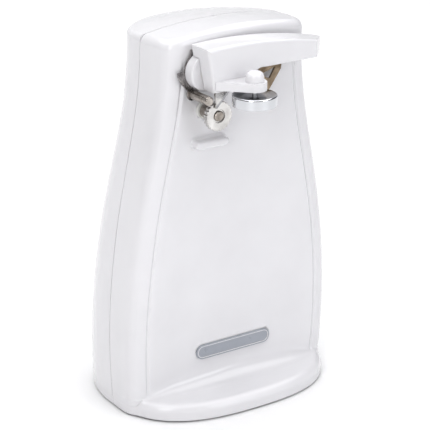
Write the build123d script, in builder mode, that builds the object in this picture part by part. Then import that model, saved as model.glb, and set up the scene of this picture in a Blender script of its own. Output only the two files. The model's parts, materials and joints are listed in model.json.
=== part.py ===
from build123d import *
import os
from math import acos, atan2, cos, degrees, hypot, pi, radians, sin, tan

os.makedirs("parts", exist_ok=True)

# ---------------------------------------------------------------- driving dimensions (mm)
# Housing: X to the right seen from the front, front towards -Y, Z up, resting plane at Z = 0.
HEIGHT = 230.0
SEAM_Y = 3.75            # plane where the front and rear shells meet
WALL = 2.5
SKIRT_Z = 1.2            # lowest edge of the shells
FRONT_POWER = 7.0        # superellipse power of the front half: boxy
BACK_POWER = 2.3         # and of the back half: round
# height, half width, depth in front of the seam, depth behind the seam
STATIONS = [
    (0.0, 70.0, 23.4, 63.6),
    (20.0, 71.4, 24.6, 63.8),
    (45.0, 72.0, 25.6, 61.4),
    (85.0, 69.6, 26.6, 56.4),
    (130.0, 62.8, 26.8, 49.0),
    (170.0, 54.6, 27.2, 42.8),
    (200.0, 50.2, 28.2, 41.6),
    (234.0, 49.2, 29.2, 41.4),
]
CAP_RADIUS = 272.0       # spherical top
CAP_Y = -16.0
CAP_FILLET = 4.0
PANEL_MARGIN = 9.5       # rim left beside the recessed front panel
PANEL_DEPTH = 0.9
PANEL_TOP = 217.0
TOE_HALF_WIDTH = 69.0
TOE_DEPTH = 52.2
TOE_POWER = 2.6
TOE_TOP = 11.0
TOE_FILLET = 5.0

# Drive train axes (x, z), all parallel to Y.
WHEEL_AXIS = (-24.0, 184.0)
PRESSURE = radians(25.0)
BACKLASH = 0.12          # taken off each tooth at the pitch circle
STAGE_1 = (0.7, 10, 56)  # module, pinion teeth, gear teeth
STAGE_2 = (0.8, 10, 48)
STAGE_3 = (1.0, 11, 40)


def centre_distance(stage):
    return stage[0] * (stage[1] + stage[2]) / 2


def step_from(point, distance, angle):
    return (point[0] + distance * cos(radians(angle)), point[1] + distance * sin(radians(angle)))


ANGLE_3 = -30.6          # direction from the drive gear to the second cluster, degrees
ANGLE_2 = -31.0          # from the second cluster to the first
ANGLE_1 = 115.6          # from the first cluster to the rotor
SECOND_AXIS = step_from(WHEEL_AXIS, centre_distance(STAGE_3), ANGLE_3)
FIRST_AXIS = step_from(SECOND_AXIS, centre_distance(STAGE_2), ANGLE_2)
ROTOR_AXIS = step_from(FIRST_AXIS, centre_distance(STAGE_1), ANGLE_1)

# Layers of the drive train along Y, front to back.
PLATE_Y = (-16.6, -15.1)
DRIVE_GEAR_Y = (-14.0, -8.0)
PINION_3_Y = (-14.4, -7.0)
GEAR_2_Y = (-7.0, -3.6)
PINION_2_Y = (-7.4, -2.5)
GEAR_1_Y = (-2.5, 1.0)
STATOR_Y = (10.5, 26.5)
SHAFT_RADIUS = 3.0
BUSHING_RADIUS = 5.0
STUD_RADIUS = 2.5
ROTOR_SHAFT_RADIUS = 2.5
RUNNING_CLEARANCE = 0.04

# Drive wheel, blade and guide.
WHEEL_RADIUS = 8.75
WHEEL_TEETH = 24
WHEEL_Y = (-39.0, -36.0)
BLADE_Y = (-41.2, -39.6)
POST_AXIS = (-33.5, 195.3)
POST_RADIUS = 2.7
GUIDE_PLATE_Y = (-26.4, -25.4)

# Lever.
HUB_AXIS = (-28.0, 208.5)
HUB_RADIUS = 10.8
HUB_Y = (-33.4, -26.6)
STEM_RADIUS = 8.0
KEY_RADIUS = 5.0
KEY_SIDE = 7.0
LEVER_Y = (-44.5, -27.9)
CUTTER_PLATE_Y = (-27.9, -26.7)
MAGNET_AXIS = (-11.3, -54.85)   # x, y of the vertical magnet axis
MAGNET_RADIUS = 12.7
MAGNET_Z = (192.8, 198.9)
HOLDER_Z = (201.4, 206.2)
BALL_Z = 208.3
HOLDER_RADIUS = 6.9
DOME_RADIUS = 5.1
DOME_HEIGHT = 5.8

# Switch and motor.
SWITCH_X = (-15.0, -4.0)
SWITCH_Z = (188.5, 200.5)
SWITCH_Y = (-21.2, -17.2)
PLUNGER_X = -9.0
PLUNGER_SIDE = 3.0
CAM_Y = (-21.3, -18.9)
CAM_BOTTOM = 204.8
SPRING_X = 1.0
SPRING_Y = -19.2
SPRING_SEAT_Z = 189.7
STATOR_HALF_WIDTH = 24.0
BORE_RADIUS = 14.3
ROTOR_RADIUS = 13.9
MOTOR_POSTS = [(29.0, 198.0), (29.0, 131.0), (-13.0, 131.0)]
PLATE_BOSSES = [(-38.0, 163.0), (2.0, 146.0), (33.0, 146.0), (12.0, 194.0)]
HOUSING_SCREWS = [(-48.0, 150.0), (48.0, 150.0), (-52.0, 45.0), (52.0, 45.0)]
PLATE_SCREW_TIP = -19.8
HOUSING_SCREW_TIP = -10.0
BASE_SCREWS_FRONT = [(-38.0, -33.0), (38.0, -33.0)]
BASE_SCREWS_REAR = [(-30.0, 54.0), (30.0, 54.0)]
BASE_Z = (2.2, 4.6)
FEET = [(-50.0, -22.0), (50.0, -22.0), (-42.0, 42.0), (42.0, 42.0)]


def save(builder, name):
    """Label a finished piece and write it."""
    builder.part.label = name
    export_step(builder.part, f"parts/{name}.step")


def front_plane(y):
    """A plane facing -Y whose sketch x and y are the model's X and Z."""
    return Plane(origin=(0, y, 0), x_dir=(1, 0, 0), z_dir=(0, -1, 0))


# ---------------------------------------------------------------- housing shells
def half_outline(half_width, depth, power, side, steps=20):
    """Points of half a superellipse, from +X round to -X. side is -1 in front, +1 behind."""
    points = []
    for step in range(steps + 1):
        turn = pi * step / steps
        c, s = cos(turn), sin(turn)
        x = half_width * (1 if c >= 0 else -1) * abs(c) ** (2 / power)
        y = SEAM_Y + side * depth * abs(s) ** (2 / power)
        points.append((x, y))
    points[0] = (half_width, SEAM_Y)
    points[-1] = (-half_width, SEAM_Y)
    return points


def body_block(inset, bottom):
    """The housing's solid form, drawn in by inset: a loft through every station under a domed top."""
    with BuildPart() as body:
        for z, half_width, front, back in STATIONS:
            ahead = half_outline(half_width - inset, front - inset, FRONT_POWER, -1)
            behind = half_outline(half_width - inset, back - inset, BACK_POWER, 1)
            with BuildSketch(Plane.XY.offset(max(z, bottom))):
                with BuildLine():
                    Spline(ahead[:-1] + behind[:0:-1], periodic=True)
                make_face()
        loft()
        with Locations((0, CAP_Y, HEIGHT - CAP_RADIUS)):
            Sphere(CAP_RADIUS - inset, mode=Mode.INTERSECT)
    return body


def toe_section(z, inset):
    """A level section of the toe, drawn in from its outline by inset."""
    points = half_outline(TOE_HALF_WIDTH - inset, TOE_DEPTH - inset, TOE_POWER, -1)
    with BuildSketch(Plane.XY.offset(z)) as section:
        with BuildLine():
            Spline(points, tangents=[(0, -1), (0, 1)])
            Line(points[-1], points[0])
        make_face()
    return section.sketch


def toe_block(inset, top):
    """The projecting toe that the can stands over: an upright skirt under a quarter-round nose."""
    radius = TOE_FILLET - inset
    bottom = SKIRT_Z - (1 if inset else 0)
    with BuildPart() as toe:
        add(toe_section(bottom, inset))
        extrude(amount=top - radius - bottom)
        for step in range(5):
            turn = radians(22.5 * step)
            add(toe_section(top - radius + radius * sin(turn), inset + radius * (1 - cos(turn))))
        loft()
    return toe


def panel_recess():
    """What is cut away to sink the front panel below its rims."""
    sides = [(w - PANEL_MARGIN, z) for z, w, front, back in STATIONS if 15 < z < PANEL_TOP]
    low = (STATIONS[0][1] - PANEL_MARGIN, TOE_TOP + 1)
    high = (STATIONS[-1][1] - PANEL_MARGIN, PANEL_TOP)
    right = [low] + sides + [high]
    left = [(-x, z) for x, z in right]
    with BuildPart() as recess:
        with BuildSketch(front_plane(0)):
            with BuildLine():
                Spline(right)
                Line(right[-1], left[-1])
                Spline(left)
                Line(left[0], right[0])
            make_face()
        extrude(amount=60)
        fillet(recess.edges().filter_by(Axis.Y).group_by(Axis.Z)[-1], 7)
        add(body_block(PANEL_DEPTH, 0).part, mode=Mode.SUBTRACT)
    return recess


def bore(axis, radius, y0, y1, mode=Mode.SUBTRACT):
    """A cylinder parallel to Y between two depths, for use inside a BuildPart."""
    with BuildSketch(front_plane(max(y0, y1))) as disc:
        with Locations(axis):
            Circle(radius)
    extrude(disc.sketch, amount=abs(y1 - y0), mode=mode)


def post(place, radius, z0, z1, mode=Mode.ADD):
    """An upright cylinder between two heights, for use inside a BuildPart."""
    with BuildSketch(Plane.XY.offset(z0)) as disc:
        with Locations(place):
            Circle(radius)
    extrude(disc.sketch, amount=z1 - z0, mode=mode)


def bar(x0, x1, y0, y1, z0, z1, mode=Mode.ADD):
    """A block between two corners, for use inside a BuildPart."""
    with Locations(((x0 + x1) / 2, (y0 + y1) / 2, (z0 + z1) / 2)):
        Box(x1 - x0, y1 - y0, z1 - z0, mode=mode)


def prism(points, y0, y1, mode=Mode.ADD):
    """A straight-sided prism along Y, for use inside a BuildPart."""
    with BuildSketch(front_plane(y1)) as profile:
        with BuildLine():
            Polyline(*points, close=True)
        make_face()
    extrude(profile.sketch, amount=y1 - y0, mode=mode)


def shifted(points, axis):
    """Points about an axis, moved to where the axis is."""
    return [(axis[0] + x, axis[1] + z) for x, z in points]


def front_wall_y(z):
    """A depth inside the front wall's thickness at a height, where bosses take root."""
    for low, high in zip(STATIONS, STATIONS[1:]):
        if low[0] <= z <= high[0]:
            share = (z - low[0]) / (high[0] - low[0])
            return SEAM_Y - low[2] - share * (high[2] - low[2]) + WALL - 0.6


BADGE_AXIS = (0.0, 32.0)
BADGE_LENGTH = 53.0
BADGE_HEIGHT = 9.0
BADGE_Y = (-21.1, -20.0)
LEDGE = (-31.5, -9.0, 161.6, 166.4)
LEDGE_Y = -28.6

with BuildPart() as outer_body:
    add(body_block(0, SKIRT_Z).part)
    fillet(outer_body.edges().filter_by(lambda e: e.center().Z > 215), CAP_FILLET)

inner_body = body_block(WALL, 0)

with BuildPart() as front_shell:
    add(outer_body.part)
    bar(-100, 100, -100, SEAM_Y, -10, 300, Mode.INTERSECT)
    add(toe_block(0, TOE_TOP).part)
    add(inner_body.part, mode=Mode.SUBTRACT)
    add(toe_block(WALL, TOE_TOP - WALL).part, mode=Mode.SUBTRACT)
    add(panel_recess().part, mode=Mode.SUBTRACT)
    # ledge under the wheel
    ledge_root = front_wall_y(LEDGE[2])
    with BuildSketch(front_plane(ledge_root)):
        with Locations(((LEDGE[0] + LEDGE[1]) / 2, (LEDGE[2] + LEDGE[3]) / 2)):
            SlotOverall(LEDGE[1] - LEDGE[0], LEDGE[3] - LEDGE[2])
    extrude(amount=ledge_root - LEDGE_Y)
    # bosses for the gear plate and for the housing screws
    for axis in PLATE_BOSSES:
        bore(axis, 3.6, front_wall_y(axis[1]), PLATE_Y[0], Mode.ADD)
    for axis in HOUSING_SCREWS:
        bore(axis, 4.2, front_wall_y(axis[1]), SEAM_Y, Mode.ADD)
    bar(SPRING_X - 4, SPRING_X + 4, front_wall_y(SPRING_SEAT_Z), -17.2, SPRING_SEAT_Z - 3, SPRING_SEAT_Z)
    bar(*SWITCH_X, front_wall_y(SWITCH_Z[0]), SWITCH_Y[0], *SWITCH_Z)
    for place in BASE_SCREWS_FRONT:
        post(place, 4.0, BASE_Z[1], TOE_TOP - WALL + 0.5)
        post(place, 1.3, BASE_Z[1], 8.6, Mode.SUBTRACT)
    for axis in PLATE_BOSSES:
        bore(axis, 1.3, PLATE_SCREW_TIP, PLATE_Y[0])
    for axis in HOUSING_SCREWS:
        bore(axis, 1.5, HOUSING_SCREW_TIP, SEAM_Y)
    # openings for the hub stem, the shaft bushing, the guide post and its plate's tab
    bore(HUB_AXIS, STEM_RADIUS + 0.05, -30, -15)
    bore(WHEEL_AXIS, BUSHING_RADIUS, -30, -15)
    bore(POST_AXIS, 2.0, -30, -15)
    bar(-41.6, -38.4, -30, -15, 204.4, 205.6, Mode.SUBTRACT)
    # shallow seat for the badge
    with BuildSketch(front_plane(BADGE_Y[1])):
        with Locations(BADGE_AXIS):
            SlotOverall(BADGE_LENGTH + 0.2, BADGE_HEIGHT + 0.2)
    extrude(amount=6, mode=Mode.SUBTRACT)
    bar(-100, 100, -100, SEAM_Y, -10, 300, Mode.INTERSECT)
save(front_shell, "front_shell")

SLOT_Z = ROTOR_AXIS[1] + 4.0
GUIDE_HALF = (19.0, 8.0)
CORD_HOLE_RADIUS = 4.0
CORD_HOLE_Z = 20.0
CORD_BOSS_Y = 58.0


def sharpener_prism(grow):
    """The outline of the sharpener insert, run through the rear wall."""
    with BuildPart() as prism:
        with BuildSketch(front_plane(60)):
            with Locations((ROTOR_AXIS[0], SLOT_Z)):
                RectangleRounded(2 * (GUIDE_HALF[0] + grow), 2 * (GUIDE_HALF[1] + grow), 4)
        extrude(amount=22)
    return prism


with BuildPart() as rear_shell:
    add(outer_body.part)
    bar(-100, 100, SEAM_Y, 100, -10, 300, Mode.INTERSECT)
    add(inner_body.part, mode=Mode.SUBTRACT)
    # screw tubes reach from the back wall to the seam, open at the back
    for x, z in HOUSING_SCREWS:
        bore((x, z), 5.0, SEAM_Y, 60, Mode.ADD)
    bore((0, CORD_HOLE_Z), 8.0, CORD_BOSS_Y, 68.0, Mode.ADD)
    for x, y in BASE_SCREWS_REAR:
        post((x, y), 4.0, BASE_Z[1], 20.0)
        bar(x - 1.5, x + 1.5, y, 66.0, BASE_Z[1], 20.0)
    add(outer_body.part, mode=Mode.INTERSECT)
    for x, z in HOUSING_SCREWS:
        bore((x, z), 3.4, SEAM_Y + 3.0, 70)
        bore((x, z), 1.9, SEAM_Y - 1, 70)
    for place in BASE_SCREWS_REAR:
        post(place, 1.3, BASE_Z[1], 9.0, Mode.SUBTRACT)
    bore((0, CORD_HOLE_Z), CORD_HOLE_RADIUS, 50.0, 75.0)
    add(sharpener_prism(0.1).part, mode=Mode.SUBTRACT)
    # cooling slots low on the back
    with BuildSketch(front_plane(75)):
        with Locations((0, 70)):
            with GridLocations(7, 0, 7, 1):
                SlotOverall(26, 2.6, rotation=90)
    extrude(amount=35, mode=Mode.SUBTRACT)
save(rear_shell, "rear_shell")

with BuildPart() as sharpener_guide:
    add(sharpener_prism(0).part)
    add(outer_body.part, mode=Mode.INTERSECT)
    bar(ROTOR_AXIS[0] - 17, ROTOR_AXIS[0] + 17, 30, 60, SLOT_Z - 2.5, SLOT_Z + 2.5, Mode.SUBTRACT)
    bore(ROTOR_AXIS, 11.0, 30, 40.2)
save(sharpener_guide, "sharpener_guide")

with BuildPart() as front_badge:
    with BuildSketch(front_plane(BADGE_Y[1])):
        with Locations(BADGE_AXIS):
            SlotOverall(BADGE_LENGTH, BADGE_HEIGHT)
    extrude(amount=BADGE_Y[1] - BADGE_Y[0])
    with BuildSketch(front_plane(BADGE_Y[0] + 0.25)):
        with Locations(BADGE_AXIS):
            SlotOverall(BADGE_LENGTH - 1.6, BADGE_HEIGHT - 1.6)
    extrude(amount=1, mode=Mode.SUBTRACT)
save(front_badge, "front_badge")

# ---------------------------------------------------------------- base
with BuildPart() as base_plate:
    with BuildSketch(Plane.XY.offset(BASE_Z[0])):
        inset = WALL + 0.4
        front_points = half_outline(TOE_HALF_WIDTH - inset, TOE_DEPTH - inset, TOE_POWER, -1)
        back_points = half_outline(TOE_HALF_WIDTH - inset, STATIONS[0][3] - inset, BACK_POWER, 1)
        with BuildLine():
            Spline(front_points, tangents=[(0, -1), (0, 1)])
            Spline(back_points, tangents=[(0, 1), (0, -1)])
        make_face()
    extrude(amount=BASE_Z[1] - BASE_Z[0])
    with Locations(*[(x, y, BASE_Z[0]) for x, y in FEET]):
        Cylinder(3.0, 12, mode=Mode.SUBTRACT)
    for axis in BASE_SCREWS_FRONT + BASE_SCREWS_REAR:
        post(axis, 1.4, 0, 10, Mode.SUBTRACT)
save(base_plate, "base_plate")

with BuildPart() as base_screws:
    for axis in BASE_SCREWS_FRONT + BASE_SCREWS_REAR:
        post(axis, 3.0, BASE_Z[0] - 1.4, BASE_Z[0])
        post(axis, 1.3, BASE_Z[0], 8.6)
        bar(axis[0] - 2, axis[0] + 2, axis[1] - 0.4, axis[1] + 0.4, 0, BASE_Z[0] - 0.8, Mode.SUBTRACT)
save(base_screws, "base_screws")

with BuildPart() as rubber_feet:
    with BuildSketch(Plane.XY):
        with Locations(*FEET):
            Circle(7)
    extrude(amount=BASE_Z[0])
    chamfer(rubber_feet.edges().group_by(Axis.Z)[0], 0.5)
    with BuildSketch(Plane.XY.offset(BASE_Z[0])):
        with Locations(*FEET):
            Circle(3.0)
    extrude(amount=BASE_Z[1] - BASE_Z[0] + 1.0)
save(rubber_feet, "rubber_feet")


def screws(places, radius, head_radius, head_y, tip_y, head_depth):
    """Screws along Y; head_y is the seat of the head and tip_y the far end."""
    side = 1 if tip_y > head_y else -1
    for axis in places:
        bore(axis, radius, head_y, tip_y, Mode.ADD)
        bore(axis, head_radius, head_y - side * head_depth, head_y, Mode.ADD)
        slot = head_y - side * head_depth
        bar(
            axis[0] - head_radius * 0.6, axis[0] + head_radius * 0.6,
            min(slot, slot + side * 0.7), max(slot, slot + side * 0.7),
            axis[1] - 0.4, axis[1] + 0.4, Mode.SUBTRACT,
        )


with BuildPart() as housing_screws:
    screws(HOUSING_SCREWS, 1.5, 3.0, SEAM_Y + 3.0, HOUSING_SCREW_TIP, 2.0)
save(housing_screws, "housing_screws")

# ---------------------------------------------------------------- gear plate and its fasteners
with BuildPart() as gear_plate:
    with BuildSketch(front_plane(PLATE_Y[1])):
        with BuildLine():
            Polyline(
                (-18, 126), (34, 126), (34, 203), (23, 203), (16, 198.5), (-37, 198.5), (-42, 194), (-42, 158),
                close=True,
            )
        make_face()
    extrude(amount=PLATE_Y[1] - PLATE_Y[0])
    fillet(gear_plate.edges().filter_by(Axis.Y), 3)
    bore(WHEEL_AXIS, BUSHING_RADIUS, -20, -10)
    bore(POST_AXIS, 2.0, -20, -10)
    for axis in [SECOND_AXIS, FIRST_AXIS]:
        bore(axis, STUD_RADIUS, -20, -10)
    for axis in MOTOR_POSTS:
        bore(axis, 1.7, -20, -10)
    for axis in PLATE_BOSSES:
        bore(axis, 1.4, -20, -10)
save(gear_plate, "gear_plate")

with BuildPart() as gear_plate_screws:
    screws(PLATE_BOSSES, 1.3, 2.6, PLATE_Y[1], PLATE_SCREW_TIP, 1.1)
save(gear_plate_screws, "gear_plate_screws")

with BuildPart() as shaft_bushing:
    bore(WHEEL_AXIS, BUSHING_RADIUS, -25.2, -14.6, Mode.ADD)
    bore(WHEEL_AXIS, 7.8, -18.4, PLATE_Y[0], Mode.ADD)
    bore(WHEEL_AXIS, SHAFT_RADIUS + RUNNING_CLEARANCE, -30, -10)
save(shaft_bushing, "shaft_bushing")

STUD_ENDS = [(SECOND_AXIS, -2.8), (FIRST_AXIS, 2.0)]
with BuildPart() as gear_studs:
    for axis, end in STUD_ENDS:
        bore(axis, STUD_RADIUS, -19.0, end, Mode.ADD)
        bore(axis, 3.6, -19.0, PLATE_Y[0], Mode.ADD)
save(gear_studs, "gear_studs")

with BuildPart() as gear_clips:
    for axis, end in STUD_ENDS:
        bore(axis, 3.5, end - 0.6, end - 0.1, Mode.ADD)
        bore(axis, STUD_RADIUS, end - 1, end)
save(gear_clips, "gear_clips")


# ---------------------------------------------------------------- gears
def involute_turn(base, radius):
    """How far an involute has wound at a radius."""
    if radius <= base:
        return 0.0
    angle = acos(base / radius)
    return tan(angle) - angle


def gear_outline(module, teeth, phase):
    """Corner points, about its own centre, of a stub involute gear with a tooth on phase (degrees)."""
    pitch = module * teeth / 2
    base = pitch * cos(PRESSURE)
    tip = pitch + 0.8 * module
    root = pitch - 1.05 * module
    half_tooth = (pi * module / 2 - BACKLASH) / (2 * pitch)
    at_base = half_tooth + involute_turn(base, pitch)
    start = max(base, root)
    radii = [start + (tip - start) * step / 4 for step in range(5)]
    flank = [(r, at_base - involute_turn(base, r)) for r in radii]
    if root < base:
        flank.insert(0, (root, at_base))
    points = []
    for tooth in range(teeth):
        middle = radians(phase) + 2 * pi * tooth / teeth
        for r, half in flank:
            points.append((r * cos(middle - half), r * sin(middle - half)))
        for r, half in reversed(flank):
            points.append((r * cos(middle + half), r * sin(middle + half)))
    return points


def gear_ring(axis, module, teeth, phase, y0, y1):
    """A gear between two depths, for use inside a BuildPart."""
    prism(shifted(gear_outline(module, teeth, phase), axis), y0, y1)


def gap_phase(teeth, towards):
    """Phase that puts a gap, not a tooth, in a direction."""
    return towards + 180.0 / teeth


with BuildPart() as motor_pinion:
    gear_ring(ROTOR_AXIS, STAGE_1[0], STAGE_1[1], ANGLE_1 + 180, *GEAR_1_Y)
    bore(ROTOR_AXIS, ROTOR_SHAFT_RADIUS - 0.6, -10, 10)
save(motor_pinion, "motor_pinion")

with BuildPart() as first_gear:
    gear_ring(FIRST_AXIS, STAGE_1[0], STAGE_1[2], gap_phase(STAGE_1[2], ANGLE_1), *GEAR_1_Y)
    bore(FIRST_AXIS, 16.0, GEAR_1_Y[0], GEAR_1_Y[0] + 1.0)
    bore(FIRST_AXIS, 16.0, GEAR_1_Y[1] - 1.0, GEAR_1_Y[1])
    bore(FIRST_AXIS, 5.0, GEAR_1_Y[0], GEAR_1_Y[1] - 0.2, Mode.ADD)
    gear_ring(FIRST_AXIS, STAGE_2[0], STAGE_2[1], ANGLE_2 + 180, *PINION_2_Y)
    bore(FIRST_AXIS, 3.9, PLATE_Y[1] + 0.3, PINION_2_Y[0], Mode.ADD)
    bore(FIRST_AXIS, STUD_RADIUS + RUNNING_CLEARANCE, -20, 5)
save(first_gear, "first_gear")

with BuildPart() as second_gear:
    gear_ring(SECOND_AXIS, STAGE_2[0], STAGE_2[2], gap_phase(STAGE_2[2], ANGLE_2), *GEAR_2_Y)
    bore(SECOND_AXIS, 15.5, GEAR_2_Y[1] - 1.0, GEAR_2_Y[1])
    bore(SECOND_AXIS, 5.5, GEAR_2_Y[0], GEAR_2_Y[1], Mode.ADD)
    gear_ring(SECOND_AXIS, STAGE_3[0], STAGE_3[1], ANGLE_3 + 180, *PINION_3_Y)
    bore(SECOND_AXIS, STUD_RADIUS + RUNNING_CLEARANCE, -20, 5)
save(second_gear, "second_gear")

with BuildPart() as drive_gear:
    gear_ring(WHEEL_AXIS, STAGE_3[0], STAGE_3[2], gap_phase(STAGE_3[2], ANGLE_3), *DRIVE_GEAR_Y)
    bore(WHEEL_AXIS, 16.5, DRIVE_GEAR_Y[1] - 1.5, DRIVE_GEAR_Y[1])
    bore(WHEEL_AXIS, 6.0, DRIVE_GEAR_Y[0], DRIVE_GEAR_Y[1] - 0.2, Mode.ADD)
    bore(WHEEL_AXIS, SHAFT_RADIUS, -20, 5)
save(drive_gear, "drive_gear")

with BuildPart() as drive_shaft:
    bore(WHEEL_AXIS, SHAFT_RADIUS, -39.3, -7.4, Mode.ADD)
    bore(WHEEL_AXIS, 4.2, WHEEL_Y[1], -25.6, Mode.ADD)
    chamfer(drive_shaft.edges().group_by(Axis.Y)[0], 0.4)
save(drive_shaft, "drive_shaft")

with BuildPart() as shaft_clip:
    bore(WHEEL_AXIS, 4.6, -8.2, -7.6, Mode.ADD)
    bore(WHEEL_AXIS, SHAFT_RADIUS, -9, -7)
save(shaft_clip, "shaft_clip")

with BuildPart() as drive_wheel:
    rim_points = []
    for tooth in range(WHEEL_TEETH):
        for share, radius in [(0.0, 0.93), (0.30, 1.0), (0.55, 1.0), (0.85, 0.93)]:
            turn = 2 * pi * (tooth + share) / WHEEL_TEETH
            rim_points.append((WHEEL_RADIUS * radius * cos(turn), WHEEL_RADIUS * radius * sin(turn)))
    prism(shifted(rim_points, WHEEL_AXIS), WHEEL_Y[0], WHEEL_Y[1])
    bore(WHEEL_AXIS, SHAFT_RADIUS, -45, -30)
    bore(WHEEL_AXIS, 3.9, WHEEL_Y[0], WHEEL_Y[0] + 0.8)
save(drive_wheel, "drive_wheel")

# ---------------------------------------------------------------- motor
STATOR_TOP = ROTOR_AXIS[1] + 22.0
STATOR_BOTTOM = 127.8
LEG_TOP = 139.3
WINDOW_TOP = 155.3
WINDOW_HALF = 14.0
STRAP_HALF = 19.0
RING_ANGLES = [(30.0, 62.0), (210.0, 242.0)]
RING_RADIUS = 17.2
STRAP_AXES = [(ROTOR_AXIS[0] - STRAP_HALF, ROTOR_AXIS[1]), (ROTOR_AXIS[0] + STRAP_HALF, ROTOR_AXIS[1])]

with BuildPart() as stator_core:
    left = ROTOR_AXIS[0] - STATOR_HALF_WIDTH
    right = ROTOR_AXIS[0] + STATOR_HALF_WIDTH
    bar(left, right, STATOR_Y[0], STATOR_Y[1], STATOR_BOTTOM, STATOR_TOP)
    fillet(stator_core.edges().filter_by(Axis.Y), 3)
    bar(
        ROTOR_AXIS[0] - WINDOW_HALF, ROTOR_AXIS[0] + WINDOW_HALF, 0, 40, LEG_TOP, WINDOW_TOP, Mode.SUBTRACT,
    )
    bore(ROTOR_AXIS, BORE_RADIUS, 0, 40)
    for axis in MOTOR_POSTS + STRAP_AXES:
        bore(axis, 1.7, 0, 40)
    for pair in RING_ANGLES:
        for angle in pair:
            bore(step_from(ROTOR_AXIS, RING_RADIUS, angle), 1.1, 0, 40)
save(stator_core, "stator_core")

with BuildPart() as shading_rings:
    for pair in RING_ANGLES:
        ends = [step_from(ROTOR_AXIS, RING_RADIUS, angle) for angle in pair]
        for end in ends:
            bore(end, 1.0, STATOR_Y[0] - 1.2, STATOR_Y[1] + 1.2, Mode.ADD)
        middle = ((ends[0][0] + ends[1][0]) / 2, (ends[0][1] + ends[1][1]) / 2)
        reach = hypot(ends[0][0] - ends[1][0], ends[0][1] - ends[1][1])
        lean = degrees(atan2(ends[1][1] - ends[0][1], ends[1][0] - ends[0][0]))
        for face in [STATOR_Y[0], STATOR_Y[1] + 1.2]:
            with BuildSketch(front_plane(face)):
                with Locations(middle):
                    SlotCenterToCenter(reach, 2.0, rotation=lean)
            extrude(amount=1.2)
save(shading_rings, "shading_rings")

BOBBIN_GAP = 0.3
BOBBIN_WALL = 1.0
WINDING = 6.0
FLANGE = 1.2
LUG_Z = (122.5, 128.5)
COIL_X = (ROTOR_AXIS[0] - 12.4, ROTOR_AXIS[0] + 12.4)


def leg_block(x0, x1, grow, mode=Mode.ADD):
    """A block round the stator's lower leg, larger by grow, for use inside a BuildPart."""
    bar(
        x0, x1, STATOR_Y[0] - grow, STATOR_Y[1] + grow, STATOR_BOTTOM - grow, LEG_TOP + grow, mode,
    )


with BuildPart() as coil_bobbin:
    leg_block(COIL_X[0] - FLANGE, COIL_X[1] + FLANGE, BOBBIN_GAP + BOBBIN_WALL)
    leg_block(COIL_X[0] - FLANGE, COIL_X[0], BOBBIN_GAP + BOBBIN_WALL + WINDING + 0.6)
    leg_block(COIL_X[1], COIL_X[1] + FLANGE, BOBBIN_GAP + BOBBIN_WALL + WINDING + 0.6)
    leg_block(COIL_X[0] - 5, COIL_X[1] + 5, BOBBIN_GAP, Mode.SUBTRACT)
    bar(COIL_X[0] - FLANGE - 3.0, COIL_X[0] - FLANGE, 4.0, 7.0, LUG_Z[0], LUG_Z[1])
save(coil_bobbin, "coil_bobbin")

with BuildPart() as coil_winding:
    leg_block(COIL_X[0], COIL_X[1], BOBBIN_GAP + BOBBIN_WALL + WINDING)
    fillet(coil_winding.edges().filter_by(Axis.X), 2.5)
    leg_block(COIL_X[0] - 1, COIL_X[1] + 1, BOBBIN_GAP + BOBBIN_WALL, Mode.SUBTRACT)
save(coil_winding, "coil_winding")


def bearing_strap(y0, y1, feet_y):
    """A flat strap across the stator that carries a rotor bearing, on two short legs."""
    with BuildSketch(front_plane(y1)) as strap:
        with Locations(ROTOR_AXIS):
            SlotCenterToCenter(2 * STRAP_HALF, 8)
            Circle(8)
    extrude(strap.sketch, amount=y1 - y0)
    for axis in STRAP_AXES:
        bore(axis, 3.2, min(y0, feet_y), max(y1, feet_y), Mode.ADD)
        bore(axis, 1.7, -5, 40)
    bore(ROTOR_AXIS, 5.2, -5, 40)


FRONT_STRAP_Y = (5.4, 6.9)
REAR_STRAP_Y = (28.6, 30.1)
with BuildPart() as motor_front_bracket:
    bearing_strap(FRONT_STRAP_Y[0], FRONT_STRAP_Y[1], STATOR_Y[0])
save(motor_front_bracket, "motor_front_bracket")

with BuildPart() as motor_rear_bracket:
    bearing_strap(REAR_STRAP_Y[0], REAR_STRAP_Y[1], STATOR_Y[1])
save(motor_rear_bracket, "motor_rear_bracket")

with BuildPart() as rotor_bearings:
    for y0, y1 in [(3.6, 8.4), (27.6, 31.2)]:
        bore(ROTOR_AXIS, 5.2, y0, y1, Mode.ADD)
    bore(ROTOR_AXIS, ROTOR_SHAFT_RADIUS + RUNNING_CLEARANCE, 0, 35)
save(rotor_bearings, "rotor_bearings")

with BuildPart() as bracket_screws:
    screws(STRAP_AXES, 1.6, 2.8, FRONT_STRAP_Y[0], REAR_STRAP_Y[1] + 2.4, 1.6)
save(bracket_screws, "bracket_screws")

with BuildPart() as motor_spacers:
    for axis in MOTOR_POSTS:
        bore(axis, 3.4, PLATE_Y[1], STATOR_Y[0], Mode.ADD)
        bore(axis, 1.7, -20, 20)
save(motor_spacers, "motor_spacers")

with BuildPart() as motor_screws:
    screws(MOTOR_POSTS, 1.65, 3.0, PLATE_Y[0], STATOR_Y[1] + 3.0, 1.8)
save(motor_screws, "motor_screws")


def nuts(places, across, y0, y1, hole):
    """Hexagon nuts along Y."""
    with BuildSketch(front_plane(y1)) as blanks:
        with Locations(*places):
            RegularPolygon(across / 2, 6, major_radius=False)
    extrude(blanks.sketch, amount=y1 - y0)
    for axis in places:
        bore(axis, hole, y0 - 1, y1 + 1)


with BuildPart() as motor_nuts:
    nuts(MOTOR_POSTS, 5.8, STATOR_Y[1], STATOR_Y[1] + 2.4, 1.65)
    nuts(STRAP_AXES, 5.0, REAR_STRAP_Y[1], REAR_STRAP_Y[1] + 2.0, 1.6)
save(motor_nuts, "motor_nuts")

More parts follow.
